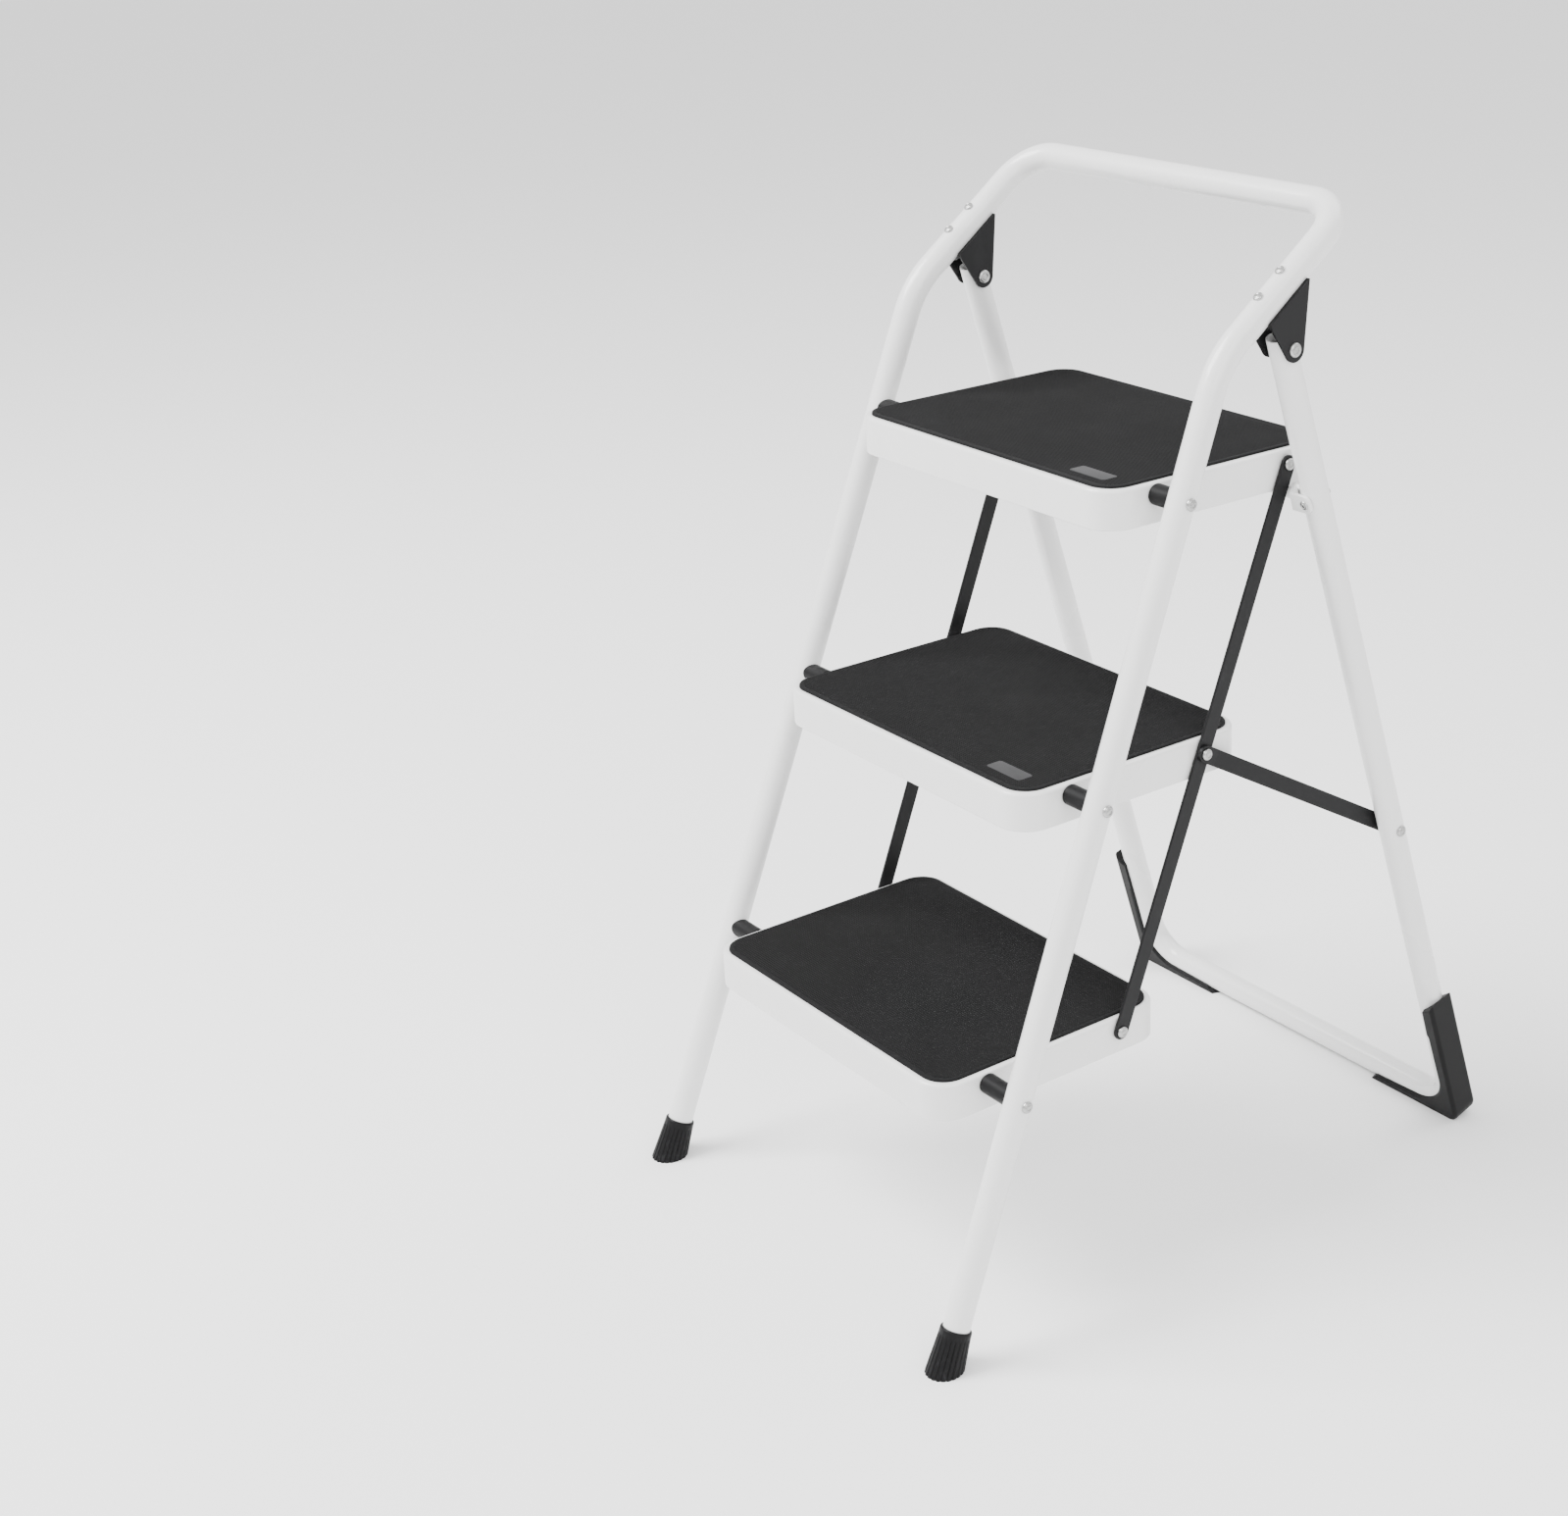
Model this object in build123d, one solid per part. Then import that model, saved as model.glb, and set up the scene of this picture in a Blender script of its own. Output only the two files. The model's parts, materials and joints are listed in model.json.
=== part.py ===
from build123d import *
from math import atan, cos, hypot, sin
import os

os.makedirs("parts", exist_ok=True)

# Folding step stool with three treads, in millimetres. +X is the right side, +Y the rear, +Z up.
# The origin is on the floor, under the middle of the open stool.

# Tubes
TUBE_RADIUS = 12.5
TUBE_WALL = 1.2
RUNNING_FIT = 0.08
SNUG_FIT = 0.05

# Front frame: one bent tube, a leg on each side and a handle bar across the top
FRONT_FLOOR_Y = -333.43
FRONT_LEAN = 0.394
FRONT_HALF_FLOOR = 232.5
HALF_TOP = 213.0
LEG_BEND_Z = 846.0
HANDLE_DEPTH = 480.0
HANDLE_Z = 956.0
LEG_BEND_RADIUS = 90.0
HANDLE_BEND_RADIUS = 38.0
FRONT_TUBE_GAP = 6.0

# Rear frame: one bent tube, a leg on each side and a bar just above the floor
HINGE_Y = FRONT_FLOOR_Y + 407.0
HINGE_Z = 847.0
REAR_LEAN = 0.313
REAR_HALF_FLOOR = 228.0
REAR_BAR_Z = 14.5
REAR_BEND_RADIUS = 40.0
REAR_TUBE_ABOVE_HINGE = 10.0

# Treads: sheet steel trays with a rubber mat let into each
TREAD_TOPS = {"top": 747.0, "middle": 497.0, "lower": 247.0}
TREAD_HALF_WIDTH = 184.0
TREAD_DEPTH = 264.0
TREAD_HEIGHT = 36.0
TREAD_CORNER = 30.0
TREAD_EDGE = 3.5
SHEET = 1.0
RIM = 6.0
MAT_THICKNESS = 3.5
MAT_RECESS = 1.5
MAT_PROUD = MAT_THICKNESS - MAT_RECESS
FLANGE = 9.0

# Pivots in the treads
PIN_BELOW_TOP = 12.0
PIN_FROM_FRONT = 54.5
LINK_PIN_BEHIND = 154.0
LINK_PIN_DROP = 3.0
PIN_RADIUS = 3.0
PIN_HEAD_RADIUS = 5.5
PIN_HEAD_HEIGHT = 2.4
SPACER_RADIUS = 9.5
SIDE_GAP = 0.4
HEAD_GAP = 0.15

# Flat bars outside the treads
BAR_WIDTH = 16.0
BAR_THICKNESS = 3.0
LINK_INNER_X = TREAD_HALF_WIDTH + 1.5
STAY_INNER_X = LINK_INNER_X + BAR_THICKNESS + SIDE_GAP
STAY_PIVOT_FROM_HINGE = 514.4
STAY_LEG_GAP = 0.6
STAY_FLAT_END = 14.0

# Hinge brackets under the handle tube
BRACKET_SHEET = 2.0
BRACKET_HALF_INNER = TUBE_RADIUS + 0.6
BRACKET_RIVET_SPACING = 31.0
HINGE_PIN_RADIUS = 4.0
HINGE_EYE_RADIUS = 11.0
RIVET_RADIUS = 2.5
RIVET_HEAD_RADIUS = 4.5
RIVET_HEAD_HEIGHT = 1.8

# Cross tube that the top tread lands on
CROSS_Y = FRONT_FLOOR_Y + 452.5
CROSS_RADIUS = 5.5
CROSS_WALL = 1.2
CROSS_Z = TREAD_TOPS["top"] - MAT_PROUD - TREAD_HEIGHT - 0.5 - CROSS_RADIUS
CROSS_TAB_Z = 706.0
CROSS_TAB_HEIGHT = 17.0
CROSS_TAB_THICKNESS = 3.0

# Latch under the rear edge of the top tread
LATCH_WIDTH = 26.0
LATCH_SHEET = 2.0
LATCH_PIN_RADIUS = 2.0
LATCH_PIN_HEAD_RADIUS = 3.2
LATCH_PIN_HEAD_HEIGHT = 1.2
LATCH_PIN_Z = TREAD_TOPS["top"] - 17.0
LATCH_PIN_Y = CROSS_Y + 20.0
LATCH_HOLE_RADIUS = 6.0

# Feet
FOOT_CAP_HEIGHT = 40.0
FOOT_CAP_TOP_RADIUS = 14.6
FOOT_CAP_FLOOR_RADIUS = 17.5
BOOT_WALL = 3.2
BOOT_TAIL_X = 118.0
BOOT_HORN = 146.0
BOOT_CORNER = 16.0
BOOT_EDGE = 4.0
BOOT_OPEN_FROM = 52.0

SIDES = {"left": -1, "right": 1}


def front_leg_point(side, z):
    """Centre of a front leg at height z, below the bend."""
    splay = (FRONT_HALF_FLOOR - HALF_TOP) / LEG_BEND_Z
    return Vector(side * (FRONT_HALF_FLOOR - splay * z), FRONT_FLOOR_Y + FRONT_LEAN * z, z)


def rear_leg_point(side, z):
    """Centre of a rear leg at height z."""
    splay = (REAR_HALF_FLOOR - HALF_TOP) / HINGE_Z
    return Vector(side * (REAR_HALF_FLOOR - splay * z), HINGE_Y + REAR_LEAN * (HINGE_Z - z), z)


def tread_pin(name):
    """Y and Z of the pivot that holds a tread on the front legs."""
    z = TREAD_TOPS[name] - PIN_BELOW_TOP
    return FRONT_FLOOR_Y + FRONT_LEAN * z, z


def link_pin(name):
    """Y and Z of the pivot at the rear of a tread, on the link bars."""
    y, z = tread_pin(name)
    return y + LINK_PIN_BEHIND, z - LINK_PIN_DROP


def rod(start, end, radius):
    """Solid cylinder from one point to another."""
    start, end = Vector(start), Vector(end)
    plane = Plane(origin=start, z_dir=end - start)
    return extrude(plane * Circle(radius), amount=(end - start).length)


def bent_tube(points, radii, outer, wall):
    """Round tube along straight runs joined by arcs."""
    path = FilletPolyline(*points, radius=radii)
    plane = Plane(origin=path @ 0, z_dir=path % 0)
    section = Circle(outer) - Circle(outer - wall) if wall else Circle(outer)
    return sweep(plane * section, path=path)


def rivet(head_seat, tail_seat, shank, head, height):
    """Rivet with a low domed head at each end, between two seats."""
    head_seat, tail_seat = Vector(head_seat), Vector(tail_seat)
    axis = (tail_seat - head_seat).normalized()
    body = rod(head_seat - axis, tail_seat + axis, shank)
    for seat, outward in ((head_seat, -axis), (tail_seat, axis)):
        disc = extrude(Circle(head), amount=height)
        disc = fillet(disc.edges().sort_by(Axis.Z)[-1], 0.9 * height)
        body += Plane(origin=seat, z_dir=outward) * disc
    return body


def small_rivet(head_seat, tail_seat):
    """Rivet of the size that holds the brackets and the cross tube."""
    return rivet(head_seat, tail_seat, RIVET_RADIUS, RIVET_HEAD_RADIUS, RIVET_HEAD_HEIGHT)


def front_frame_points():
    """Corners of the front frame's centre line, from the left foot to the right foot."""
    foot_z = FRONT_TUBE_GAP
    handle_y = FRONT_FLOOR_Y + HANDLE_DEPTH
    left = [
        front_leg_point(-1, foot_z),
        front_leg_point(-1, LEG_BEND_Z),
        Vector(-HALF_TOP, handle_y, HANDLE_Z),
    ]
    right = [Vector(-p.X, p.Y, p.Z) for p in reversed(left)]
    return left + right


def make_front_frame():
    radii = [LEG_BEND_RADIUS, HANDLE_BEND_RADIUS, HANDLE_BEND_RADIUS, LEG_BEND_RADIUS]
    frame = bent_tube(front_frame_points(), radii, TUBE_RADIUS, TUBE_WALL)
    for side in SIDES.values():
        for name in TREAD_TOPS:
            y, z = tread_pin(name)
            x = front_leg_point(side, z).X
            start = Vector(x - 2 * TUBE_RADIUS, y, z)
            frame -= rod(start, start + Vector(4 * TUBE_RADIUS, 0, 0), PIN_RADIUS + SNUG_FIT)
        for centre in bracket_rivet_points(side):
            reach = handle_normal() * 2 * TUBE_RADIUS
            frame -= rod(centre - reach, centre + reach, RIVET_RADIUS + SNUG_FIT)
    return frame


def handle_direction():
    """Unit vector along the sloping tube that carries the hinge brackets."""
    bend = front_leg_point(1, LEG_BEND_Z)
    return Vector(0, FRONT_FLOOR_Y + HANDLE_DEPTH - bend.Y, HANDLE_Z - bend.Z).normalized()


def handle_normal():
    """Unit vector out of the upper side of the sloping tube."""
    along = handle_direction()
    return Vector(0, -along.Z, along.Y)


def bracket_centre(side):
    """Point on the sloping tube's centre line above the middle of the bracket."""
    bend = front_leg_point(side, LEG_BEND_Z)
    reach = (HINGE_Y - 10.0 - bend.Y) / handle_direction().Y
    return bend + handle_direction() * reach


def bracket_rivet_points(side):
    half = handle_direction() * (BRACKET_RIVET_SPACING / 2)
    centre = bracket_centre(side)
    return [centre - half, centre + half]


def make_bracket(side):
    """Pressed channel: a trough under the sloping tube and a cheek on each side of the rear leg."""
    along, normal = handle_direction(), handle_normal()
    centre = bracket_centre(side)
    top = centre - normal * 6.0
    rear_top = top + along * 27.5
    front_top = top - along * 27.5
    hinge = Vector(0, HINGE_Y, HINGE_Z)
    cheek = Polygon(
        (rear_top.Y, rear_top.Z),
        (front_top.Y, front_top.Z),
        (front_top.Y + 2.0, front_top.Z - 6.0),
        (HINGE_Y - 0.72 * HINGE_EYE_RADIUS, HINGE_Z - 0.69 * HINGE_EYE_RADIUS),
        (HINGE_Y + HINGE_EYE_RADIUS, HINGE_Z),
        align=None,
    )
    outline = cheek + Pos(HINGE_Y, HINGE_Z) * Circle(HINGE_EYE_RADIUS)
    side_plane = Plane(origin=(side * HALF_TOP, 0, 0), x_dir=(0, 1, 0), z_dir=(1, 0, 0))
    block = extrude(side_plane * outline, amount=BRACKET_HALF_INNER + BRACKET_SHEET, both=True)
    tube_run = [centre - along * 60, centre + along * 60]
    hollow = extrude(side_plane * offset(outline, 5.0), amount=BRACKET_HALF_INNER, both=True)
    hollow -= rod(*tube_run, TUBE_RADIUS + BRACKET_SHEET)
    above = centre - normal * (TUBE_RADIUS - 2.0)
    keep_below = Plane(origin=above, x_dir=(1, 0, 0), z_dir=-normal)
    hollow &= extrude(keep_below * Rectangle(200, 200), amount=100)
    bracket = block - hollow - rod(*tube_run, TUBE_RADIUS + SNUG_FIT)
    across = Vector(4 * TUBE_RADIUS, 0, 0)
    pin_centre = hinge + Vector(side * HALF_TOP, 0, 0)
    bracket -= rod(pin_centre - across, pin_centre + across, HINGE_PIN_RADIUS + SNUG_FIT)
    for point in bracket_rivet_points(side):
        bracket -= rod(point, point - normal * 3 * TUBE_RADIUS, RIVET_RADIUS + SNUG_FIT)
    return bracket


def make_bracket_rivets():
    normal = handle_normal()
    rivets = []
    for side in SIDES.values():
        for point in bracket_rivet_points(side):
            head_seat = point + normal * TUBE_RADIUS
            tail_seat = point - normal * (TUBE_RADIUS + BRACKET_SHEET)
            rivets.append(small_rivet(head_seat, tail_seat))
    return Compound(children=rivets)


def make_hinge_pins():
    """One pin a side, fixed in the bracket's cheeks, that the rear leg turns on."""
    reach = BRACKET_HALF_INNER + BRACKET_SHEET
    pins = []
    for side in SIDES.values():
        outer = Vector(side * (HALF_TOP + reach), HINGE_Y, HINGE_Z)
        inner = Vector(side * (HALF_TOP - reach), HINGE_Y, HINGE_Z)
        pins.append(rivet(outer, inner, HINGE_PIN_RADIUS, 6.5, PIN_HEAD_HEIGHT))
    return Compound(children=pins)


def stay_pivot():
    """Y and Z of the pivot between a stay and its rear leg."""
    slope = atan(REAR_LEAN)
    return HINGE_Y + STAY_PIVOT_FROM_HINGE * sin(slope), HINGE_Z - STAY_PIVOT_FROM_HINGE * cos(slope)


def rear_leg_normal():
    """Unit vector out of the front of a rear leg."""
    slope = atan(REAR_LEAN)
    return Vector(0, -cos(slope), -sin(slope))


def rear_frame_points():
    top_z = HINGE_Z + REAR_TUBE_ABOVE_HINGE
    left = [rear_leg_point(-1, top_z), rear_leg_point(-1, REAR_BAR_Z)]
    right = [Vector(-p.X, p.Y, p.Z) for p in reversed(left)]
    return left + right


def make_rear_frame():
    frame = bent_tube(rear_frame_points(), [REAR_BEND_RADIUS] * 2, TUBE_RADIUS, TUBE_WALL)
    across = Vector(2 * TUBE_RADIUS, 0, 0)
    pivot_y, pivot_z = stay_pivot()
    for side in SIDES.values():
        hinge = Vector(side * HALF_TOP, HINGE_Y, HINGE_Z)
        frame -= rod(hinge - across, hinge + across, HINGE_PIN_RADIUS + RUNNING_FIT)
        stay = Vector(rear_leg_point(side, pivot_z).X, pivot_y, pivot_z)
        frame -= rod(stay - across, stay + across, PIN_RADIUS + SNUG_FIT)
        tab = rear_leg_point(side, CROSS_TAB_Z)
        reach = rear_leg_normal() * 2 * TUBE_RADIUS
        frame -= rod(tab - reach, tab + reach, RIVET_RADIUS + SNUG_FIT)
    return frame


def make_stay_leg_rivets():
    """Rivet in each rear leg at the stay's rear pivot, its inner end flat against the leg."""
    pivot_y, pivot_z = stay_pivot()
    rivets = []
    for side in SIDES.values():
        x = rear_leg_point(side, pivot_z).X
        outer = Vector(x + side * (TUBE_RADIUS + HEAD_GAP), pivot_y, pivot_z)
        inner = Vector(x - side * TUBE_RADIUS, pivot_y, pivot_z)
        whole = rivet(outer, inner, PIN_RADIUS, PIN_HEAD_RADIUS, PIN_HEAD_HEIGHT)
        beyond = Plane(origin=inner, z_dir=(-side, 0, 0))
        whole -= extrude(beyond * Rectangle(40, 40), amount=20)
        rivets.append(whole)
    return Compound(children=rivets)


def make_cross_tube():
    """Small tube between the rear legs, with flattened ends set forward onto the legs' fronts."""
    tube_end = LINK_INNER_X + BAR_THICKNESS + 2.0
    ends = [(-tube_end, CROSS_Y, CROSS_Z), (tube_end, CROSS_Y, CROSS_Z)]
    cross = rod(*ends, CROSS_RADIUS) - rod(*ends, CROSS_RADIUS - CROSS_WALL)
    normal = rear_leg_normal()
    for side in SIDES.values():
        leg = rear_leg_point(side, CROSS_TAB_Z)
        tab_back = leg + normal * (TUBE_RADIUS + 0.02)
        set_back = (Vector(leg.X, CROSS_Y, CROSS_Z) - tab_back).dot(normal)
        up_leg = normal.cross(Vector(side, 0, 0))
        plane = Plane(origin=(0, tab_back.Y, tab_back.Z), x_dir=(side, 0, 0), z_dir=up_leg)
        lean = 1 if plane.y_dir.dot(normal) > 0 else -1
        start, step_in, step_out, tip = tube_end - 1.5, tube_end, tube_end + 10, abs(leg.X) + 7
        t = CROSS_TAB_THICKNESS
        back = set_back + t / 2
        strip = Polygon(
            (start, lean * (back - t)),
            (step_in, lean * (back - t)),
            (step_out, 0),
            (tip, 0),
            (tip, lean * t),
            (step_out - 1.5, lean * t),
            (step_in - 1.5, lean * back),
            (start, lean * back),
            align=None,
        )
        tab = extrude(plane * strip, amount=CROSS_TAB_HEIGHT / 2, both=True)
        tip_edges = tab.edges().filter_by(lambda e: abs(e.center().X) > tip - 0.1)
        corners = tip_edges.filter_by(lambda e: abs(e.length - t) < 0.1)
        tab = fillet(corners, 7.0)
        tab -= rod(leg, leg + normal * 2 * TUBE_RADIUS, RIVET_RADIUS + SNUG_FIT)
        cross += tab
    return cross


def make_cross_rivets():
    normal = rear_leg_normal()
    rivets = []
    for side in SIDES.values():
        leg = rear_leg_point(side, CROSS_TAB_Z)
        head_seat = leg + normal * (TUBE_RADIUS + 0.02 + CROSS_TAB_THICKNESS)
        tail_seat = leg - normal * TUBE_RADIUS
        rivets.append(small_rivet(head_seat, tail_seat))
    return Compound(children=rivets)


def tread_block(name, inset, bottom, top, corner):
    """Rounded upright block over a tread's outline, let in by inset all round."""
    centre_y = tread_pin(name)[0] - PIN_FROM_FRONT + TREAD_DEPTH / 2
    outline = RectangleRounded(2 * (TREAD_HALF_WIDTH - inset), TREAD_DEPTH - 2 * inset, corner - inset)
    return extrude(Plane(origin=(0, centre_y, bottom)) * outline, amount=top - bottom)


def make_tray(name):
    """Pressed sheet tray: a deck with a recess for the mat, a skirt and a turned-in flange."""
    rim_z = TREAD_TOPS[name] - MAT_PROUD
    bottom = rim_z - TREAD_HEIGHT
    deck = MAT_RECESS + SHEET
    tray = tread_block(name, 0, bottom, rim_z, TREAD_CORNER)
    tray = fillet(tray.faces().sort_by(Axis.Z)[-1].edges(), TREAD_EDGE)
    tray = fillet(tray.faces().sort_by(Axis.Z)[0].edges(), SHEET)
    tray -= tread_block(name, SHEET, bottom + SHEET, rim_z - deck, TREAD_CORNER)
    tray -= tread_block(name, FLANGE, bottom, rim_z - deck, TREAD_CORNER)
    tray -= tread_block(name, RIM, rim_z - MAT_RECESS, rim_z, TREAD_CORNER)
    for y, z in (tread_pin(name), link_pin(name)):
        fit = RUNNING_FIT if (y, z) == tread_pin(name) else SNUG_FIT
        tray -= rod((-300, y, z), (300, y, z), PIN_RADIUS + fit)
    return tray


def make_mat(name):
    rim_z = TREAD_TOPS[name] - MAT_PROUD
    mat = tread_block(name, RIM + 0.1, rim_z - MAT_RECESS, TREAD_TOPS[name], TREAD_CORNER)
    return fillet(mat.faces().sort_by(Axis.Z)[-1].edges(), 1.0)


def make_front_pins(name):
    """Long rivet a side: through the front leg, the spacer and the tread's skirt."""
    y, z = tread_pin(name)
    pins = []
    for side in SIDES.values():
        outer = Vector(front_leg_point(side, z).X + side * (TUBE_RADIUS + HEAD_GAP), y, z)
        inner = Vector(side * (TREAD_HALF_WIDTH - SHEET - SIDE_GAP), y, z)
        pins.append(rivet(outer, inner, PIN_RADIUS, PIN_HEAD_RADIUS, PIN_HEAD_HEIGHT))
    return Compound(children=pins)


def make_spacers():
    """Plastic bush between each front leg and tread skirt, hollowed to sit on the leg."""
    spacers = []
    for side in SIDES.values():
        leg_run = [front_leg_point(side, 0), front_leg_point(side, LEG_BEND_Z)]
        leg = rod(*leg_run, TUBE_RADIUS + 0.02)
        for name in TREAD_TOPS:
            y, z = tread_pin(name)
            start = Vector(side * (TREAD_HALF_WIDTH + SIDE_GAP), y, z)
            end = Vector(front_leg_point(side, z).X, y, z)
            bush = rod(start, end, SPACER_RADIUS)
            bush = fillet(bush.edges().sort_by(lambda e: abs(e.center().X))[0], 1.0)
            bush -= rod(start - Vector(side, 0, 0), end, PIN_RADIUS + SNUG_FIT)
            spacers.append(bush - leg)
    return Compound(children=spacers)


def make_link_pins(name):
    """Rivet a side at the rear of a tread; the middle tread's also hold the stays."""
    y, z = link_pin(name)
    outer_x = LINK_INNER_X + BAR_THICKNESS + SIDE_GAP
    if name == "middle":
        outer_x += BAR_THICKNESS + SIDE_GAP
    pins = []
    for side in SIDES.values():
        head = Vector(side * outer_x, y, z)
        tail = Vector(side * (TREAD_HALF_WIDTH - SHEET), y, z)
        pin = rivet(head, tail, PIN_RADIUS, PIN_HEAD_RADIUS, PIN_HEAD_HEIGHT)
        collar_end = Vector(side * (LINK_INNER_X - SIDE_GAP), y, z)
        pin += rod((side * TREAD_HALF_WIDTH, y, z), collar_end, 2 * PIN_RADIUS)
        pins.append(pin)
    return Compound(children=pins)


def make_link_bar(side):
    """Flat bar that joins the rear pivots of the three treads."""
    pivots = [link_pin(name) for name in TREAD_TOPS]
    (top_y, top_z), (low_y, low_z) = pivots[0], pivots[-1]
    run = hypot(top_y - low_y, top_z - low_z)
    plane = Plane(
        origin=(side * LINK_INNER_X, (top_y + low_y) / 2, (top_z + low_z) / 2),
        x_dir=(0, top_y - low_y, top_z - low_z),
        z_dir=(side, 0, 0),
    )
    bar = extrude(plane * SlotOverall(run + BAR_WIDTH, BAR_WIDTH), amount=BAR_THICKNESS)
    bar = fillet(bar.edges().filter_by(lambda e: e.length > 20), 0.8)
    for y, z in pivots:
        bar -= rod((side * 150, y, z), (side * 250, y, z), PIN_RADIUS + RUNNING_FIT)
    return bar


def make_stay(side):
    """Flat bar from the middle tread's rear pivot to the rear leg, set outward along its length."""
    near_y, near_z = link_pin("middle")
    far_y, far_z = stay_pivot()
    run = hypot(far_y - near_y, far_z - near_z)
    far_x = rear_leg_point(1, far_z).X - TUBE_RADIUS - STAY_LEG_GAP - BAR_THICKNESS
    shift = far_x - STAY_INNER_X
    reach = BAR_WIDTH / 2
    along = Vector(0, far_y - near_y, far_z - near_z).normalized()
    across = Vector(side, 0, 0).cross(along)
    side_view = Plane(origin=(side * STAY_INNER_X, near_y, near_z), x_dir=along, z_dir=(side, 0, 0))
    top_view = Plane(origin=(side * STAY_INNER_X, near_y, near_z), x_dir=along, z_dir=across)
    lean = 1 if top_view.y_dir.dot(Vector(side, 0, 0)) > 0 else -1
    t = BAR_THICKNESS
    bends = [(-reach, 0), (STAY_FLAT_END, 0), (run - STAY_FLAT_END, shift), (run + reach, shift)]
    face = [(u, lean * v) for u, v in bends] + [(u, lean * (v + t)) for u, v in reversed(bends)]
    strip = extrude(top_view * Polygon(*face, align=None), amount=BAR_WIDTH / 2, both=True)
    slot = side_view * (Pos(run / 2, 0) * SlotOverall(run + BAR_WIDTH, BAR_WIDTH))
    stay = strip & extrude(slot, amount=60, both=True)
    for y, z in ((near_y, near_z), (far_y, far_z)):
        fit = RUNNING_FIT if y == near_y else SNUG_FIT
        stay -= rod((side * 150, y, z), (side * 250, y, z), PIN_RADIUS + fit)
    return stay


def make_stay_end_rivets(side):
    """Rivet head on the stay's rear end, its shank ending flush with the bar's outer face."""
    y, z = stay_pivot()
    outer_x = rear_leg_point(1, z).X - TUBE_RADIUS - STAY_LEG_GAP
    inner_x = outer_x - BAR_THICKNESS
    head_seat, tail_seat = (side * inner_x, y, z), (side * outer_x, y, z)
    whole = rivet(head_seat, tail_seat, PIN_RADIUS, PIN_HEAD_RADIUS, PIN_HEAD_HEIGHT)
    beyond = Plane(origin=(side * outer_x, y, z), z_dir=(side, 0, 0))
    return whole - extrude(beyond * Rectangle(40, 40), amount=20)


def make_foot_cap(side):
    """Rubber cap on a front leg, flared to the floor and cut level with it."""
    axis_floor = front_leg_point(side, 0)
    along = (front_leg_point(side, 100) - axis_floor).normalized()
    below = 12.0
    plane = Plane(origin=axis_floor - along * below, z_dir=along)
    taper = (FOOT_CAP_FLOOR_RADIUS - FOOT_CAP_TOP_RADIUS) / FOOT_CAP_HEIGHT
    outline = Polygon(
        (0, 0),
        (FOOT_CAP_FLOOR_RADIUS + taper * below, 0),
        (FOOT_CAP_TOP_RADIUS + taper * 3, below + FOOT_CAP_HEIGHT - 3),
        (FOOT_CAP_TOP_RADIUS, below + FOOT_CAP_HEIGHT),
        (0, below + FOOT_CAP_HEIGHT),
        align=None,
    )
    cap = plane * revolve(Plane.XZ * outline, axis=Axis.Z)
    cap &= extrude(Plane.XY * Rectangle(2000, 2000), amount=200)
    tube_end = front_leg_point(side, FRONT_TUBE_GAP)
    return cap - rod(tube_end, tube_end + along * 80, TUBE_RADIUS + 0.02)


def make_rear_boot(side):
    """Moulded boot round the outside of the rear frame's bend, open towards the inside."""
    corner = rear_leg_point(side, REAR_BAR_Z)
    upward = Vector(0, rear_leg_point(side, 100).Y - corner.Y, 100 - REAR_BAR_Z).normalized()
    outward = Vector(side, 0, 0)
    plane = Plane(origin=(0, corner.Y, corner.Z), x_dir=outward, z_dir=outward.cross(upward))
    splay = (REAR_HALF_FLOOR - HALF_TOP) / HINGE_Z
    bend = REAR_BEND_RADIUS
    x = abs(corner.X)
    outer = x + TUBE_RADIUS + BOOT_WALL
    floor = -(TUBE_RADIUS + BOOT_WALL)
    turn = BOOT_CORNER * (1 - cos(atan(1)))
    collar = BOOT_HORN - 22
    outline = Curve() + [
        Line((BOOT_TAIL_X, floor), (outer - BOOT_CORNER, floor)),
        ThreePointArc(
            (outer - BOOT_CORNER, floor),
            (outer - turn, floor + turn),
            (outer, floor + BOOT_CORNER),
        ),
        Line((outer, floor + BOOT_CORNER), (outer - splay * BOOT_HORN, BOOT_HORN)),
        Line((outer - splay * BOOT_HORN, BOOT_HORN), (x - 4, collar + 9)),
        Line((x - 4, collar + 9), (x - TUBE_RADIUS - 2.5, collar + 6)),
        Line((x - TUBE_RADIUS - 2.5, collar + 6), (x - TUBE_RADIUS - 2.5, collar - 2)),
        Line((x - TUBE_RADIUS - 2.5, collar - 2), (x - 2, collar - 20)),
        Line((x - 2, collar - 20), (x, bend)),
        ThreePointArc((x, bend), (x - bend * 0.293, bend * 0.293), (x - bend, 0)),
        Line((x - bend, 0), (BOOT_TAIL_X + 14, -3)),
        Line((BOOT_TAIL_X + 14, -3), (BOOT_TAIL_X, floor)),
    ]
    half = TUBE_RADIUS + BOOT_WALL
    block = extrude(plane * make_face(outline), amount=half, both=True)
    edges = [(edge, plane.to_local_coords(edge.center())) for edge in block.edges() if edge.length > 15]
    on_face = [(edge, at) for edge, at in edges if abs(abs(at.Z) - half) < 0.1]
    outside = [edge for edge, at in on_face if at.X > outer - BOOT_CORNER - 1 or at.Y < floor + 1]
    block = fillet(outside, BOOT_EDGE)
    block &= extrude(Plane.XY * Rectangle(2000, 2000), amount=400)
    inner = Pos(x - 100 - splay * BOOT_OPEN_FROM, BOOT_OPEN_FROM + 100) * Rectangle(200, 200)
    block -= extrude(plane * inner, amount=2 * half, both=True)
    return block - bent_tube(rear_frame_points(), [bend] * 2, TUBE_RADIUS + 0.02, 0)


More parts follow.
